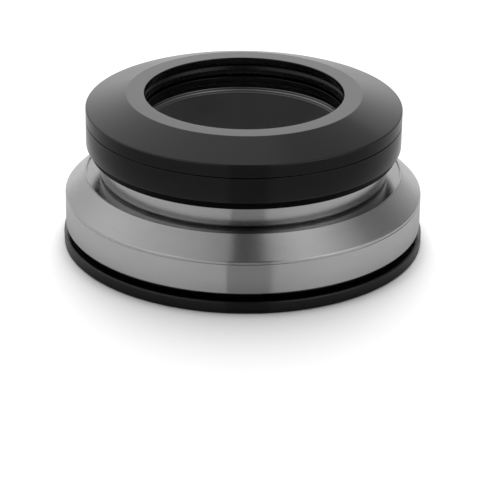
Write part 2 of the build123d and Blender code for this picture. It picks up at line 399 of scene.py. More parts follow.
# %% Grey anodised aluminium with bare crests
FLUTE_SPACING = 0.3
FLUTES = 2
CREST_WIDTH = 0.05


def bare_crests(tree, lowest_z):
    """1 on the crests of a turned mouth, counted up from its lowest one."""
    place = add(tree, "ShaderNodeTexCoord").outputs["Object"]
    height = add(tree, "ShaderNodeSeparateXYZ", {0: place}).outputs["Z"]
    above = add(tree, "ShaderNodeMath", {0: height, 1: lowest_z * MM}, operation="SUBTRACT")
    off = add(
        tree, "ShaderNodeMath", {0: above, 1: FLUTE_SPACING / 2 * MM}, operation="PINGPONG"
    )
    edge = CREST_WIDTH * MM
    near = add(
        tree,
        "ShaderNodeMapRange",
        {"Value": off, "From Min": 0.4 * edge, "From Max": edge, "To Min": 1.0, "To Max": 0.0},
        interpolation_type="SMOOTHSTEP",
    )
    turned_part = add(
        tree,
        "ShaderNodeMapRange",
        {"Value": above, "From Min": -edge, "From Max": -0.8 * edge},
        interpolation_type="SMOOTHSTEP",
    )
    return add(tree, "ShaderNodeMath", {0: near, 1: turned_part}, operation="MULTIPLY")


grey_anodised = anodised(
    "Grey anodised aluminium",
    dark="#585859",
    light="#6F6F70",
    roughness=0.30,
    index=1.6,
    facing="#FFFFFF",
    line_height_mm=0.0010,
    bare_from=extent("compression_ring")[2] - FLUTES * FLUTE_SPACING,
)

# %% [markdown]
# The O-ring and the lips are nitrile rubber, and the cages are moulded nylon. Rubber is
# black with a soft, wide sheen, smoother where the mould was polished, as on the O-ring.
# The lips' rubber is painted darker than the O-ring's and shines less head on: painted shade for
# the shade that the lips sit in.
# One noise gives a moulded piece its mottling, its gloss and its grain, because all three
# come from the same wall of the mould.

# %% Rubber and nylon
def moulded(name, dark, light, roughness, facing, grain_mm, grain_height_mm):
    """Moulded rubber or plastic. facing tints the gloss seen head on."""
    material, tree = new_material(name)
    place = add(tree, "ShaderNodeTexCoord").outputs["Object"]
    grain = add(
        tree, "ShaderNodeTexNoise", {"Vector": place, "Scale": per_mm(grain_mm), "Detail": 3.0}
    )
    colour = add(
        tree, "ShaderNodeMix", {0: grain, 6: linear(dark), 7: linear(light)}, data_type="RGBA"
    )
    gloss = add(
        tree,
        "ShaderNodeMapRange",
        {
            "Value": grain,
            "To Min": roughness - GLOSS_SPREAD,
            "To Max": roughness + GLOSS_SPREAD,
        },
    )
    bump = add(
        tree,
        "ShaderNodeBump",
        {"Height": grain, "Distance": grain_height_mm * MM, "Strength": 1.0},
    )
    shader = add(
        tree,
        "ShaderNodeBsdfPrincipled",
        {
            "Base Color": colour,
            "Roughness": gloss,
            "IOR": 1.5,
            "Specular Tint": linear(facing),
            "Normal": bump,
        },
    )
    add(tree, "ShaderNodeOutputMaterial", {"Surface": shader})
    return material


o_ring_rubber = moulded(
    "Polished nitrile rubber",
    dark="#0E0E0E",
    light="#1B1B1B",
    roughness=0.28,
    facing="#FFFFFF",
    grain_mm=0.4,
    grain_height_mm=0.001,
)
# Painted shade: black rubber made darker than the O-ring's, with its head-on gloss dimmed, for the
# shade the lips sit in.
lip_rubber_painted_shade = moulded(
    "Moulded nitrile rubber, painted darker",
    dark="#020202",
    light="#0A0A0A",
    roughness=0.55,
    facing="#505050",
    grain_mm=0.2,
    grain_height_mm=0.002,
)
nylon = moulded(
    "Moulded nylon",
    dark="#323234",
    light="#4D4D4F",
    roughness=0.50,
    facing="#FFFFFF",
    grain_mm=0.25,
    grain_height_mm=0.003,
)
print("finishes", len(bpy.data.materials))

# %% [markdown]
# Nearly every piece of a headset comes off a lathe, so one tool makes them all. A section is
# drawn with a few corners in the plane of radius and height. A vertex bevel rounds the
# corners that the real tool rounds, and a spin carries the section round the axis. That
# keeps each edge as fine or as round as its corner, all the way round.

# %% The lathe
STEPS = 256
SHARP = math.radians(35)
LARGE_ROUND = 0.6
SMALL_ARC_STEPS, LARGE_ARC_STEPS = 4, 14


def rounded(mesh, corners):
    """Rounds the section's corners, each by its own size, with finer arcs on larger ones."""
    for size in sorted({radius for _, radius in corners if radius}):
        bmesh.ops.bevel(
            mesh,
            geom=[vertex for vertex, radius in corners if radius == size],
            offset=size,
            offset_type="OFFSET",
            affect="VERTICES",
            segments=SMALL_ARC_STEPS if size < LARGE_ROUND else LARGE_ARC_STEPS,
            profile=0.5,
            material=-1,
        )


def spun(mesh):
    """Carries a section all the way round the axis and joins its end to its start."""
    bmesh.ops.spin(
        mesh,
        geom=mesh.verts[:] + mesh.edges[:],
        cent=(0, 0, 0),
        axis=(0, 0, 1),
        angle=math.tau,
        steps=STEPS,
        use_merge=True,
    )


def turned(name, section, node, body, finish):
    """Spins a section of (radius, height[, rounding]) corners into a ring that replaces a node."""
    mesh = bmesh.new()
    corners = [
        (mesh.verts.new((point[0], 0, point[1])), point[2] if len(point) > 2 else 0)
        for point in section
    ]
    mesh.faces.new([vertex for vertex, _ in corners])
    rounded(mesh, corners)
    bmesh.ops.delete(mesh, geom=mesh.faces[:], context="FACES_ONLY")
    spun(mesh)
    return finished(name, mesh, node, body, finish)


def finished(name, mesh, node, body, finish):
    """Cleans a mesh in millimetres, makes it a piece in metres and seats it on its body."""
    bmesh.ops.remove_doubles(mesh, verts=mesh.verts[:], dist=1e-4)
    bmesh.ops.scale(mesh, verts=mesh.verts[:], vec=(MM, MM, MM))
    bmesh.ops.recalc_face_normals(mesh, faces=mesh.faces[:])
    data = bpy.data.meshes.new(name)
    mesh.to_mesh(data)
    mesh.free()
    data.shade_smooth()
    data.set_sharp_from_angle(angle=SHARP)
    data.materials.append(finish)
    piece = bpy.data.objects.new(name, data)
    bpy.context.scene.collection.objects.link(piece)
    flat_faces_lead = piece.modifiers.new("Flat faces stay flat", "WEIGHTED_NORMAL")
    flat_faces_lead.keep_sharp = True
    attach(piece, body)
    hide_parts(node)
    print(name, "faces", len(data.polygons))
    return piece


print("the lathe takes", STEPS, "steps of", round(360 / STEPS, 2), "degrees")

# %% [markdown]
# Both bearings have 45 degree seats and 1/8 inch balls. The upper one is the same bearing
# the other way up, so one function draws both, and a height is measured from the seat face,
# up or down. A ball runs in a groove a little wider than itself. The groove could be drawn
# point by point, but two tangents and one large vertex bevel give the same arc.

# %% Sizes that both bearings share
STEERER_R = 14.3
BALL_R = 3.175 / 2
GROOVE_R = BALL_R + 0.06
BEVEL_FIT = 0.999
SHOULDER = math.radians(80)
RELIEF = math.radians(15)
RELIEF_DEPTH = 0.25
RIM_LAND = 0.2
FACE_RECESS = 0.25
SHIELD_THICKNESS = 0.3
SHIELD_LEDGE = 0.3
SHIELD_LEDGE_WIDTH = 0.25
SHIELD_OVER_RACE = 0.07
SHIELD_BORE_GAP = 0.62
SEAL_THICKNESS = 0.6
SEAL_LIP = 0.3
SEAL_GAP = 0.12
RACE_EDGE = 0.3
BORE_EDGE = 0.12
RIM_ROUND = 0.05
RIM_INSIDE_ROUND = 0.13
WITNESS_DROP = 0.26
WITNESS_FLANK = 0.20
WITNESS_WIDTH = 0.23
WITNESS_DEPTH = 0.07
FINE_ROUND = 0.04


def groove(centre_r, centre_h, side):
    """The ball groove's two ends and the corner between them, with its rounding.

    side is 1 in the outer race and -1 in the inner one. The two end tangents meet in the
    corner, and a large vertex bevel there draws the arc.
    """
    steep, shallow = (SHOULDER, -RELIEF) if side > 0 else (math.pi + SHOULDER, math.pi - RELIEF)
    middle = (steep + shallow) / 2
    half = (SHOULDER + RELIEF) / 2
    shoulder = (centre_r + GROOVE_R * math.cos(steep), centre_h + GROOVE_R * math.sin(steep))
    open_end = (centre_r + GROOVE_R * math.cos(shallow), centre_h + GROOVE_R * math.sin(shallow))
    reach = GROOVE_R / math.cos(half)
    corner = (
        centre_r + reach * math.cos(middle),
        centre_h + reach * math.sin(middle),
        GROOVE_R * math.tan(half) * BEVEL_FIT,
    )
    return shoulder, corner, open_end


print("ball radius", BALL_R, "mm, groove radius", round(GROOVE_R, 4), "mm")

# %% [markdown]
# The outer race is seen most: a cylinder, a 45 degree cone and a rim only 0.2 mm wide. The
# edge between cone and cylinder is broken by a seventh of a millimetre and catches a thin
# line of light. A hair under it runs the fine mark where the two grinding wheels met. Inside
# it holds the ball groove, a ledge for the shield and a relief for the seal. The inner race
# is its mirror, cut for the cone that seats in its mouth.

# %% A bearing's four rings
def witness_mark(outer_r, edge_z):
    """The shallow groove under an outer race's edge, with a long flank that looks down."""
    return [
        (outer_r, edge_z - WITNESS_DROP),
        (outer_r - WITNESS_DEPTH, edge_z - WITNESS_DROP - WITNESS_FLANK),
        (outer_r, edge_z - WITNESS_DROP - WITNESS_WIDTH),
    ]


def bearing(prefix, seat_side, rim_side, bodies, steel, seat_z, way, outer_r, height, bore_r,
            rim_chamfer, seat_chamfer, ball_height, edge_round, marked):
    """Draws one bearing's races, shield and seal. way is 1 standing up, -1 the other way up."""
    edge_z = height - rim_chamfer
    mark = witness_mark(outer_r, edge_z) if marked else []
    pitch_r = (outer_r + bore_r) / 2
    shield_r = outer_r - rim_chamfer - RIM_LAND
    shield_base = height - FACE_RECESS - SHIELD_THICKNESS
    inner_top = shield_base - SHIELD_OVER_RACE
    outer_relief_r = pitch_r + GROOVE_R + RELIEF_DEPTH
    inner_relief_r = pitch_r - GROOVE_R - RELIEF_DEPTH
    outer_shoulder, outer_corner, outer_open = groove(pitch_r, ball_height, 1)
    inner_shoulder, inner_corner, inner_open = groove(pitch_r, ball_height, -1)
    seal_inner_r = outer_shoulder[0] + SEAL_GAP
    seal_middle_r = (seal_inner_r + outer_relief_r) / 2
    shield_inner_r = bore_r + SHIELD_BORE_GAP
    ledge_h = shield_base - SHIELD_LEDGE
    ledge_r = shield_r - SHIELD_LEDGE_WIDTH
    sections = {
        "_outer_race": [
            outer_shoulder,
            (outer_shoulder[0], ledge_h, FINE_ROUND),
            (ledge_r, ledge_h),
            (ledge_r, shield_base, FINE_ROUND),
            (shield_r, shield_base),
            (shield_r, height, RIM_INSIDE_ROUND),
            (outer_r - rim_chamfer, height, RIM_ROUND),
            (outer_r, edge_z, edge_round),
            *mark,
            (outer_r, RACE_EDGE, FINE_ROUND),
            (outer_r - RACE_EDGE, 0, FINE_ROUND),
            (outer_relief_r, 0, FINE_ROUND),
            (outer_relief_r, outer_open[1]),
            outer_open,
            outer_corner,
        ],
        "_inner_race": [
            inner_shoulder,
            (inner_shoulder[0], 0, FINE_ROUND),
            (bore_r + seat_chamfer, 0, FINE_ROUND),
            (bore_r, seat_chamfer, FINE_ROUND),
            (bore_r, inner_top, BORE_EDGE),
            (inner_relief_r, inner_top, FINE_ROUND),
            (inner_relief_r, inner_open[1]),
            inner_open,
            inner_corner,
        ],
        "_" + rim_side + "_shield": [
            (shield_inner_r, shield_base, FINE_ROUND),
            (shield_r, shield_base),
            (shield_r, height - FACE_RECESS, FINE_ROUND),
            (shield_inner_r, height - FACE_RECESS, FINE_ROUND),
        ],
        "_" + seat_side + "_seal": [
            (seal_inner_r, FACE_RECESS, FINE_ROUND),
            (outer_relief_r, FACE_RECESS),
            (outer_relief_r, FACE_RECESS + SEAL_THICKNESS),
            (seal_middle_r, FACE_RECESS + SEAL_THICKNESS),
            (seal_inner_r, FACE_RECESS + SEAL_LIP, FINE_ROUND),
        ],
    }
    finishes = {
        "race": (steel, "bearing_steel"),
        "shield": (sheet, "shield_steel"),
        "seal": (lip_rubber_painted_shade, "black_rubber"),
    }
    for suffix, section in sections.items():
        finish, slot = finishes[suffix.rsplit("_", 1)[1]]
        placed = [(corner[0], seat_z + way * corner[1], *corner[2:]) for corner in section]
        name = prefix + suffix
        turned(name + "_turned", placed, name, bodies[suffix == "_inner_race"], finish)


# %% [markdown]
# The two are standard sizes in trade: 52 x 40 x 8 below and 41.8 x 30.2 x 7 above. Outer
# sizes and heights come from the frame, so they can't drift from it, and the rest are given
# here. The lower outer race turns and its inner race stands on the crown race. The upper
# inner race turns with the cover, and its outer race stands in the mouth of the lower one.

# %% The two bearings
LOWER_BEARING = {
    "bore_r": 20.0,
    "rim_chamfer": 2.95,
    "seat_chamfer": 1.4,
    "ball_height": 3.7,
    "edge_round": 0.14,
    "marked": True,
}
UPPER_BEARING = {
    "bore_r": 15.1,
    "rim_chamfer": 2.5,
    "seat_chamfer": 1.3,
    "ball_height": 3.4,
    "edge_round": 0.05,
    "marked": False,
}
lower_outer_r, lower_seat_z, lower_top_z = extent("lower_outer_race")
bearing(
    "lower",
    seat_side="bottom",
    rim_side="top",
    bodies=("lower_outer", "base"),
    steel=lower_steel,
    seat_z=lower_seat_z,
    way=1,
    outer_r=lower_outer_r,
    height=lower_top_z - lower_seat_z,
    **LOWER_BEARING,
)
upper_outer_r, upper_bottom_z, upper_top_z = extent("upper_outer_race")
bearing(
    "upper",
    seat_side="top",
    rim_side="bottom",
    bodies=("base", "upper_turning"),
    steel=upper_steel,
    seat_z=upper_top_z,
    way=-1,
    outer_r=upper_outer_r,
    height=upper_top_z - upper_bottom_z,
    **UPPER_BEARING,
)

# %% [markdown]
# The crown race presses on the fork and carries the lower bearing on a cone. A groove under
# the bearing holds a rubber lip. From outside only its flat black rim shows, and the dark
# gap over it. A turned disc would fill the view as well, but the cone and the lip are what
# make that gap dark, so the whole section is drawn.

# %% Crown race and its lip
CROWN_BORE_R = 19.9
CROWN_BORE_CHAMFER = 0.4
CROWN_CONE_WALL = 0.65
CROWN_BASE = 1.75
CROWN_FOOT_ROUND = 0.25
CROWN_TOP_ROUND = 0.22
CROWN_CONE_ROUND = 0.1
LIP_SETBACK = 1.0
LIP_WIDTH = 0.8
LIP_DEPTH = 0.7
LIP_GAP = 0.15
LIP_FLARE = 0.55
LIP_TIP = 0.35
LIP_ROUND = 0.08
crown_r, _, cone_top_z = extent("crown_race")
cone_top_r = CROWN_BORE_R + CROWN_CONE_WALL
cone_foot_r = cone_top_r + cone_top_z - CROWN_BASE
lip_outer_r = lower_outer_r - LIP_SETBACK
lip_inner_r = lip_outer_r - LIP_WIDTH
lip_tip_r = lip_outer_r + LIP_FLARE
turned(
    "crown_race_turned",
    [
        (CROWN_BORE_R + CROWN_BORE_CHAMFER, 0),
        (crown_r, 0, CROWN_FOOT_ROUND),
        (crown_r, CROWN_BASE, CROWN_TOP_ROUND),
        (lip_outer_r, CROWN_BASE, FINE_ROUND),
        (lip_outer_r, CROWN_BASE - LIP_DEPTH),
        (lip_inner_r, CROWN_BASE - LIP_DEPTH),
        (lip_inner_r, CROWN_BASE, FINE_ROUND),
        (cone_foot_r, CROWN_BASE, CROWN_CONE_ROUND),
        (cone_top_r, cone_top_z, FINE_ROUND),
        (CROWN_BORE_R, cone_top_z, FINE_ROUND),
        (CROWN_BORE_R, CROWN_BORE_CHAMFER),
    ],
    "crown_race",
    "base",
    black_anodised,
)
turned(
    "crown_race_seal_moulded",
    [
        (lip_inner_r, CROWN_BASE - LIP_DEPTH),
        (lip_outer_r, CROWN_BASE - LIP_DEPTH),
        (lip_outer_r, CROWN_BASE),
        (lip_tip_r, lower_seat_z - LIP_GAP, LIP_ROUND),
        (lip_tip_r - LIP_TIP, lower_seat_z - LIP_GAP, LIP_ROUND),
        (lip_inner_r, CROWN_BASE, FINE_ROUND),
    ],
    "crown_race_seal",
    "base",
    lip_rubber_painted_shade,
)

# %% [markdown]
# The compression ring is a wedge with a long skirt, split by one slot so that it can close
# on the steerer. It is spun like the rest. Then two cutting planes, one on each side of the
# slot, mark it out on the front, the faces between them go, and the two open ends are
# capped flat.

# %% Compression ring
RING_SLOT = 1.8
RING_SKIRT_WALL = 0.7
RING_EDGE_ROUND = 0.2
FLUTE_DEPTH = 0.05
ring_r, ring_bottom_z, ring_top_z = extent("compression_ring")
ring_skirt_r = STEERER_R + RING_SKIRT_WALL
seat_mouth_r = UPPER_BEARING["bore_r"] + UPPER_BEARING["seat_chamfer"]
ring_cone_z = upper_top_z + ring_r - seat_mouth_r
mouth_depth = FLUTES * FLUTE_SPACING


def fluted(start, stop, flutes, depth):
    """Points of a turned slope: crests along it, and between them flutes cut into the metal."""
    along = Vector((stop[0] - start[0], stop[1] - start[1]))
    inward = Vector((-along.y, along.x)).normalized() * depth
    points = [tuple(start)]
    for step in range(flutes):
        low = Vector(start) + along * (step + 0.5) / flutes + inward
        crest = Vector(start) + along * (step + 1) / flutes
        points += [tuple(low), tuple(crest)]
    return points


def split(piece, width):
    """Cuts a slot of a width through a ring's wall on its -Y side and caps the two ends."""
    mesh = bmesh.new()
    mesh.from_mesh(piece.data)
    half = width / 2 * MM
    for side in (-half, half):
        bmesh.ops.bisect_plane(
            mesh,
            geom=mesh.verts[:] + mesh.edges[:] + mesh.faces[:],
            dist=1e-8,
            plane_co=(side, 0, 0),
            plane_no=(1, 0, 0),
        )
    between = [
        face
        for face in mesh.faces
        if face.calc_center_median().y < 0 and abs(face.calc_center_median().x) < half
    ]
    bmesh.ops.delete(mesh, geom=between, context="FACES")
    for side in (-1, 1):
        rim = [e for e in mesh.edges if e.is_boundary and e.verts[0].co.x * side > 0]
        bmesh.ops.contextual_create(mesh, geom=rim)
    bmesh.ops.recalc_face_normals(mesh, faces=mesh.faces[:])
    mesh.to_mesh(piece.data)
    mesh.free()
    piece.data.set_sharp_from_angle(angle=SHARP)
    print(piece.name, "slot", width, "mm, faces", len(piece.data.polygons))


compression_ring = turned(
    "compression_ring_split",
    [
        (STEERER_R, ring_bottom_z, RING_EDGE_ROUND),
        (ring_skirt_r, ring_bottom_z, RING_EDGE_ROUND),
        (ring_skirt_r, ring_cone_z - (ring_r - ring_skirt_r)),
        (ring_r, ring_cone_z, FINE_ROUND),
        (ring_r, ring_top_z, RING_EDGE_ROUND),
        *fluted(
            (STEERER_R + mouth_depth, ring_top_z),
            (STEERER_R, ring_top_z - mouth_depth),
            FLUTES,
            FLUTE_DEPTH,
        ),
    ],
    "compression_ring",
    "upper_turning",
    grey_anodised,
)
split(compression_ring, RING_SLOT)

# %% [markdown]
# The cover is two turnings that meet in a fine line. The lower one is the skirt: a flange
# that sits on the compression ring, a wall outside and a spigot that centres the cap. The
# parting line is a real gap between the two pieces, so it stays a dark line from every side.

# %% Cover skirt
COVER_WALL = 1.25
SKIRT_WALL = 1.36
SKIRT_FOOT_ROUND = 0.15
FLANGE = 0.6
FLANGE_BORE_GAP = 0.6
FLANGE_ROUND = 0.06
PARTING_RISE = 0.5
PARTING_GAP = 0.13
PARTING_ROUND = 0.05
SPIGOT_ROUND = 0.1
SPIGOT_GAP = 0.06
SPIGOT_WALL = 1.0
SEAL_ROOT = 1.2
SEAL_REBATE = 0.66
cover_r, skirt_bottom_z, spigot_top_z = extent("cover_skirt")
cap_top_z = extent("cover_cap")[2]
flange_top_z = ring_top_z + FLANGE
parting_z = flange_top_z + PARTING_RISE
skirt_inner_r = cover_r - SKIRT_WALL
spigot_r = cover_r - COVER_WALL - SPIGOT_GAP
seal_rebate_r = skirt_inner_r + SEAL_REBATE
turned(
    "cover_skirt_turned",
    [
        (STEERER_R + FLANGE_BORE_GAP, ring_top_z, FINE_ROUND),
        (skirt_inner_r, ring_top_z),
        (skirt_inner_r, skirt_bottom_z + SEAL_ROOT),
        (seal_rebate_r, skirt_bottom_z + SEAL_ROOT),
        (seal_rebate_r, skirt_bottom_z, FINE_ROUND),
        (cover_r, skirt_bottom_z, SKIRT_FOOT_ROUND),
        (cover_r, parting_z - PARTING_GAP / 2, PARTING_ROUND),
        (spigot_r, parting_z - PARTING_GAP / 2),
        (spigot_r, spigot_top_z, SPIGOT_ROUND),
        (spigot_r - SPIGOT_WALL, spigot_top_z, SPIGOT_ROUND),
        (spigot_r - SPIGOT_WALL, flange_top_z),
        (STEERER_R + FLANGE_BORE_GAP, flange_top_z, FLANGE_ROUND),
    ],
    "cover_skirt",
    "upper_turning",
    black_anodised,
)

# %% [markdown]
# The cap is a shallow cone with a flat ring on top, and a boss round the steerer with a
# groove for the O-ring. Its edges are broken by different amounts, as they are on the real
# one: the outer edge most, where a hand meets it, and the one between flat and cone hardly
# at all. Each one is a corner of the section with its own rounding.

# %% Cover cap
CAP_CONE_DROP = 1.9
CAP_CROWN_WALL = 1.3
CAP_BORE_GAP = 0.1
CAP_BORE_ROUND = 0.12
CAP_FLAT_WIDTH = 2.7
CAP_FLAT_ROUND = 0.05
CAP_RIM_ROUND = 0.14
BOSS_WALL = 3.0
BOSS_CHAMFER = 0.35
O_RING_HALF = 0.95
O_RING_RISE = 2.3
O_RING_BORE_GAP = 0.05
GROOVE_HALF = 1.0
GROOVE_ROUND = 0.08
cover_bore_r = STEERER_R + CAP_BORE_GAP
cap_flat_r = STEERER_R + CAP_FLAT_WIDTH
cap_inner_r = cover_r - COVER_WALL
boss_r = cover_bore_r + BOSS_WALL
o_ring_z = flange_top_z + O_RING_RISE
o_ring_centre_r = STEERER_R + O_RING_BORE_GAP + O_RING_HALF
groove_floor_r = o_ring_centre_r + GROOVE_HALF
rim_z = cap_top_z - CAP_CONE_DROP


def under_cone(radius):
    """Height of the cap's inner surface."""
    fall = CAP_CONE_DROP / (cover_r - cap_flat_r)
    return cap_top_z - CAP_CROWN_WALL - max(0, radius - cap_flat_r) * fall


turned(
    "cover_cap_turned",
    [
        (cover_bore_r, cap_top_z, CAP_BORE_ROUND),
        (cap_flat_r, cap_top_z, CAP_FLAT_ROUND),
        (cover_r, rim_z, CAP_RIM_ROUND),
        (cover_r, parting_z + PARTING_GAP / 2, PARTING_ROUND),
        (cap_inner_r, parting_z + PARTING_GAP / 2),
        (cap_inner_r, under_cone(cap_inner_r)),
        (boss_r, under_cone(boss_r)),
        (boss_r, flange_top_z),
        (cover_bore_r + BOSS_CHAMFER, flange_top_z),
        (cover_bore_r, flange_top_z + BOSS_CHAMFER, FINE_ROUND),
        (cover_bore_r, o_ring_z - GROOVE_HALF, GROOVE_ROUND),
        (groove_floor_r, o_ring_z - GROOVE_HALF),
        (groove_floor_r, o_ring_z + GROOVE_HALF),
        (cover_bore_r, o_ring_z + GROOVE_HALF, GROOVE_ROUND),
    ],
    "cover_cap",
    "upper_turning",
    black_anodised,
)

# %% [markdown]
# The O-ring is a plain torus in the cap's groove, so its section is a circle from the start.
# The skirt's lip hangs just clear of the upper bearing to keep spray out.

# %% O-ring and skirt lip
O_RING_SEGMENTS = 40
SKIRT_LIP_GAP = 0.4
SKIRT_LIP_TIP = 0.45


def o_ring(name, centre_r, centre_z, half):
    """A ring of round section."""
    mesh = bmesh.new()
    stand = Matrix.Translation((centre_r, 0, centre_z)) @ Matrix.Rotation(math.pi / 2, 4, "X")
    bmesh.ops.create_circle(
        mesh, cap_ends=False, segments=O_RING_SEGMENTS, radius=half, matrix=stand
    )
    spun(mesh)
    return finished(name, mesh, "bore_o_ring", "upper_turning", o_ring_rubber)


o_ring("bore_o_ring_moulded", o_ring_centre_r, o_ring_z, O_RING_HALF)
seal_outer_r, seal_bottom_z, seal_top_z = extent("skirt_seal")
skirt_seal_r = upper_outer_r + SKIRT_LIP_GAP
turned(
    "skirt_seal_moulded",
    [
        (skirt_seal_r, seal_top_z),
        (seal_rebate_r, seal_top_z),
        (seal_rebate_r, skirt_bottom_z),
        (seal_outer_r, seal_bottom_z, LIP_ROUND),
        (seal_outer_r - SKIRT_LIP_TIP, seal_bottom_z, LIP_ROUND),
        (skirt_seal_r, skirt_bottom_z, FINE_ROUND),
    ],
    "skirt_seal",
    "upper_turning",
    lip_rubber_painted_shade,
)

# %% [markdown]
# The balls and their cages are shut in behind the shields. Their CAD meshes are right as
# they are, and only get their finish.

# %% Balls and cages
for node, finish in {
    "lower_balls": chrome,
    "upper_balls": chrome,
    "lower_ball_cage": nylon,
    "upper_ball_cage": nylon,
}.items():
    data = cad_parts[node].data
    data.materials.clear()
    data.materials.append(finish)
    print(node, "finished as", finish.name)

# %% [markdown]
# The table is matt white and stands in a white room. The camera sees the room white, and so
# does the metal. One long soft box hangs overhead and reaches back behind the headset. It is
# narrow from side to side, so the shadow stays close at the sides and runs out in front. It
# lights only matt surfaces, and the screens further down shape what the gloss shows.

# %% White room and soft box
FILL_LEVEL = 0.16
TABLE_HALF = 3.0
TABLE_WHITE = (0.98, 0.98, 0.98, 1)
BOX_HEIGHT = 1.0
BOX_WIDTH = 0.75
BOX_FRONT = -0.12
BOX_BACK = 1.6
BOX_WATTS = 22.0


def white_room():
    world = bpy.data.worlds.new("White room")
    bpy.context.scene.world = world
    world.use_nodes = True
    world.cycles.sampling_method = "NONE"
    tree = world.node_tree
    tree.nodes.clear()
    path = add(tree, "ShaderNodeLightPath").outputs
    seen = add(
        tree,
        "ShaderNodeMath",
        {0: path["Is Camera Ray"], 1: path["Is Glossy Ray"]},
        operation="MAXIMUM",
    )
    shown = add(
        tree, "ShaderNodeMath", {0: seen, 1: path["Is Transmission Ray"]}, operation="MAXIMUM"
    )
    strength = add(tree, "ShaderNodeMapRange", {"Value": shown, "To Min": FILL_LEVEL})
    room = add(tree, "ShaderNodeBackground", {"Color": (1, 1, 1, 1), "Strength": strength})
    add(tree, "ShaderNodeOutputWorld", {"Surface": room})


def soft_box():
    """An area lamp that faces straight down. Blender's area lamps shine along their -Z."""
    data = bpy.data.lights.new("Soft box", "AREA")
    data.shape = "RECTANGLE"
    data.size = BOX_WIDTH
    data.size_y = BOX_BACK - BOX_FRONT
    data.energy = BOX_WATTS
    lamp = bpy.data.objects.new("Soft box", data)
    lamp.location = (0, (BOX_BACK + BOX_FRONT) / 2, BOX_HEIGHT)
    lamp.visible_camera = False
    lamp.visible_glossy = False
    lamp.visible_transmission = False
    bpy.context.scene.collection.objects.link(lamp)
    print("soft box", round(data.size, 2), "by", round(data.size_y, 2), "m")


def table_top():
    mesh = bmesh.new()
    bmesh.ops.create_grid(mesh, x_segments=1, y_segments=1, size=TABLE_HALF)
    data = bpy.data.meshes.new("Table")
    mesh.to_mesh(data)
    mesh.free()
    material, tree = new_material("Matt white laminate")
    shader = add(tree, "ShaderNodeBsdfDiffuse", {"Color": TABLE_WHITE})
    add(tree, "ShaderNodeOutputMaterial", {"Surface": shader})
    data.materials.append(material)
    table = bpy.data.objects.new("Table", data)
    bpy.context.scene.collection.objects.link(table)


white_room()
soft_box()
table_top()

# %% [markdown]
# Shiny black and bare steel show the studio more than themselves, so the studio needs a
# shape. Grey screens stand round and over the set, as a photographer's flags do. They leave
# the white room open low behind the headset, let half of it through on the left and over
# the right shoulder, and close a narrow slit in front, where the camera looks in. That slit
# is the dark upright bar on every ring.

# %% Openings and a slit
SLIT_LEFT = (-0.20, -0.17)
SMALLEST_DEPTH = 1e-5


def opening(tree, way, azimuth, elevation, spread, through):
    """A round opening with soft edges: 1 in its middle, a third at its spread."""
    turn, rise, wide = (math.radians(a) for a in (azimuth, elevation, spread))
    centre = (math.sin(turn) * math.cos(rise), math.cos(turn) * math.cos(rise), math.sin(rise))
    sharpness = 1 / (1 - math.cos(wide))
    facing = add(tree, "ShaderNodeVectorMath", {0: way, 1: centre}, operation="DOT_PRODUCT")
    off = add(
        tree,
        "ShaderNodeMath",
        {0: facing, 1: sharpness, 2: -sharpness},
        operation="MULTIPLY_ADD",
    )
    soft = add(tree, "ShaderNodeMath", {0: off}, operation="EXPONENT")
    return add(tree, "ShaderNodeMath", {0: soft, 1: through}, operation="MULTIPLY")


def slit(tree, across, back, start_back, right_edge):
    """1 in the slit in front, 0 elsewhere."""
    depth = add(tree, "ShaderNodeMath", {0: start_back, 1: back}, operation="SUBTRACT")
    deep = add(tree, "ShaderNodeMath", {0: depth, 1: SMALLEST_DEPTH}, operation="MAXIMUM")
    slope = add(tree, "ShaderNodeMath", {0: across, 1: deep}, operation="DIVIDE")
    left = add(
        tree,
        "ShaderNodeMapRange",
        {"Value": slope, "From Min": SLIT_LEFT[0], "From Max": SLIT_LEFT[1]},
        interpolation_type="SMOOTHSTEP",
    )
    beyond = add(
        tree,
        "ShaderNodeMapRange",
        {"Value": slope, "From Min": right_edge[0], "From Max": right_edge[1]},
        interpolation_type="SMOOTHSTEP",
    )
    return add(tree, "ShaderNodeMath", {0: left, 1: beyond}, operation="SUBTRACT", use_clamp=True)


def darkened(tree, value, mask, share):
    """The value with a share of it taken away where the mask is 1."""
    kept = add(tree, "ShaderNodeMath", {0: mask, 1: -share, 2: 1.0}, operation="MULTIPLY_ADD")
    return add(tree, "ShaderNodeMath", {0: value, 1: kept}, operation="MULTIPLY")


# %% [markdown]
# A screen is a thin shell that lets a share of the room through. An area lamp with a pattern
# could give the same gloss, but it would light the matt table too. So the shell is clear to
# the camera and to matt surfaces, and only a glossy ray meets it.

# %% A screen that only gloss meets
def screen(name, mesh, through_of, glow_of=None):
    """Makes a stage piece that only glossy rays meet. It lets a share through and may glow."""
    data = bpy.data.meshes.new(name)
    mesh.to_mesh(data)
    mesh.free()
    material, tree = new_material(name)
    through = through_of(tree)
    clear = add(tree, "ShaderNodeCombineColor", {0: through, 1: through, 2: through})
    shader = add(tree, "ShaderNodeBsdfTransparent", {"Color": clear})
    if glow_of:
        material.cycles.emission_sampling = "NONE"
        glow = add(tree, "ShaderNodeEmission", {"Strength": glow_of(tree)})
        shader = add(tree, "ShaderNodeAddShader", {0: shader, 1: glow})
    add(tree, "ShaderNodeOutputMaterial", {"Surface": shader})
    data.materials.append(material)
    piece = bpy.data.objects.new(name, data)
    bpy.context.scene.collection.objects.link(piece)
    piece.visible_camera = False
    piece.visible_diffuse = False
    piece.visible_shadow = False
    piece.visible_transmission = False
    piece.visible_volume_scatter = False
    print(name, "vertices", len(data.vertices))


# %% [markdown]
# The tent is a half sphere far out, so a direction from the middle of the set is all that an
# opening needs. The bright one low behind the headset glows a little as well, for the black
# anodising, which gives back only part of what it sees. A flag high on the right behind the
# set gives the cover's cone its one clear edge of shade.

# %% The tent
SCREEN_RADIUS = 1.5
SLIT_RIGHT = (0.28, 0.51)
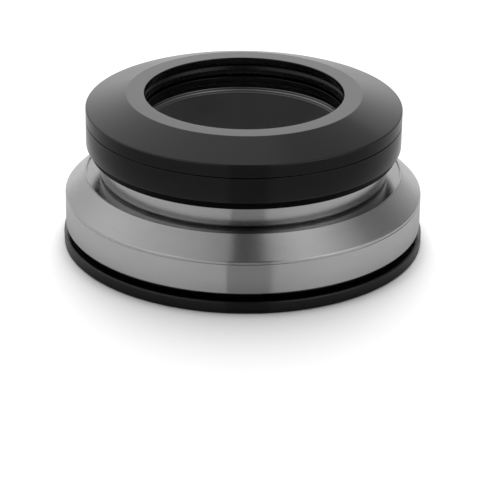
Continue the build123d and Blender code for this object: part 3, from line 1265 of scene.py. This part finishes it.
# Openings: azimuth from behind towards the right, elevation, spread, how much comes through
OPENINGS = [
    (0, 17, 28, 0.95),
    (-78, 26, 42, 0.55),
    (-140, 62, 24, 0.22),
    (0, 50, 20, 0.42),
    (126, 59, 18, 0.38),
    (105, 50, 30, 0.18),
    (50, 6, 22, 0.12),
    (-135, 2, 30, 0.60),
    (125, 2, 32, 0.95),
]
CLOSED_LEVEL = 0.06
GLOW = (0, 17, 26, 0.33)
FLAG_EDGES = {"X": (0.05, 0.20), "Y": (0.0, 0.2), "Z": (0.55, 0.585)}
FLAG_SHARE = 0.34
SLIT_SHARE = 0.71


def direction(tree):
    """The direction from the middle of the set to a point of the tent."""
    place = add(tree, "ShaderNodeTexCoord").outputs["Object"]
    return add(tree, "ShaderNodeVectorMath", {0: place}, operation="NORMALIZE")


def flag(tree, parts):
    """1 behind the flag, high on the right and behind the set, and 0 elsewhere."""
    mask = 1.0
    for axis, edge in FLAG_EDGES.items():
        step = add(
            tree,
            "ShaderNodeMapRange",
            {"Value": parts[axis], "From Min": edge[0], "From Max": edge[1]},
            interpolation_type="SMOOTHSTEP",
        )
        mask = add(tree, "ShaderNodeMath", {0: mask, 1: step}, operation="MULTIPLY")
    return mask


def tent_through(tree):
    way = direction(tree)
    parts = add(tree, "ShaderNodeSeparateXYZ", {0: way}).outputs
    light = CLOSED_LEVEL
    for values in OPENINGS:
        more = opening(tree, way, *values)
        light = add(tree, "ShaderNodeMath", {0: light, 1: more}, operation="ADD")
    shut = slit(tree, parts["X"], parts["Y"], 0.0, SLIT_RIGHT)
    barred = darkened(tree, light, shut, SLIT_SHARE)
    shaded = darkened(tree, barred, flag(tree, parts), FLAG_SHARE)
    return add(tree, "ShaderNodeMath", {0: shaded, 1: 1.0}, operation="MINIMUM")


def tent_glow(tree):
    return opening(tree, direction(tree), *GLOW)


tent = bmesh.new()
bmesh.ops.create_uvsphere(tent, u_segments=96, v_segments=48, radius=SCREEN_RADIUS)
below = [vertex for vertex in tent.verts if vertex.co.z < -1e-4]
bmesh.ops.delete(tent, geom=below, context="VERTS")
screen("Tent", tent, tent_through, tent_glow)

# %% [markdown]
# The table shows in the gloss too, so it gets a screen of its own that lies on it. The card
# all but shuts inside the bore, which leaves the compression ring its own grey. It opens
# step by step from the foot outward, where the steel rings look, and is darker in a ring
# further out, where the cover looks. A colour ramp reads its levels off a short table of
# distances. Behind the headset it opens again.

# %% Graded card on the table
CARD_STOPS = [
    (0, 0.10), (19, 0.10), (21, 0.32), (29, 0.34), (34, 0.47), (42, 0.48), (46, 0.70), (49, 0.54),
    (53, 0.205), (58, 0.19), (62, 0.17), (88, 0.17), (105, 0.70),
]
CARD_BEHIND = 0.52
BEHIND_EDGE = (-20 * MM, 65 * MM)
SLIT_START = -15 * MM
CARD_SLIT_RIGHT = (0.30, 0.43)
CARD_SLIT_SHARE = 0.37
CARD_RISE = 0.05


def card_through(tree):
    """How much the card lets through: by the distance in millimetres, and opener behind."""
    place = add(tree, "ShaderNodeTexCoord").outputs["Object"]
    parts = add(tree, "ShaderNodeSeparateXYZ", {0: place}).outputs
    radius = add(tree, "ShaderNodeVectorMath", {0: place}, operation="LENGTH")
    full = CARD_STOPS[-1][0]
    share = add(tree, "ShaderNodeMath", {0: radius, 1: per_mm(full)}, operation="MULTIPLY")
    ramp = add(tree, "ShaderNodeValToRGB", {0: share})
    elements = ramp.color_ramp.elements
    for distance, _ in CARD_STOPS[1:-1]:
        elements.new(distance / full)
    for element, (distance, level) in zip(elements, CARD_STOPS):
        element.position = distance / full
        element.color = (level, level, level, 1)
    behind = add(
        tree,
        "ShaderNodeMapRange",
        {"Value": parts["Y"], "From Min": BEHIND_EDGE[0], "From Max": BEHIND_EDGE[1]},
        interpolation_type="SMOOTHSTEP",
    )
    level = add(tree, "ShaderNodeMix", {0: behind, 2: ramp, 3: CARD_BEHIND}, data_type="FLOAT")
    shut = slit(tree, parts["X"], parts["Y"], SLIT_START, CARD_SLIT_RIGHT)
    return darkened(tree, level, shut, CARD_SLIT_SHARE)


card = bmesh.new()
bmesh.ops.create_grid(card, x_segments=1, y_segments=1, size=SCREEN_RADIUS)
bmesh.ops.translate(card, verts=card.verts[:], vec=(0, 0, CARD_RISE * MM))
screen("Card", card, card_through)

# %% [markdown]
# Last, the colours are shown as they are.

# %% Finish
bpy.context.scene.view_settings.view_transform = "Standard"
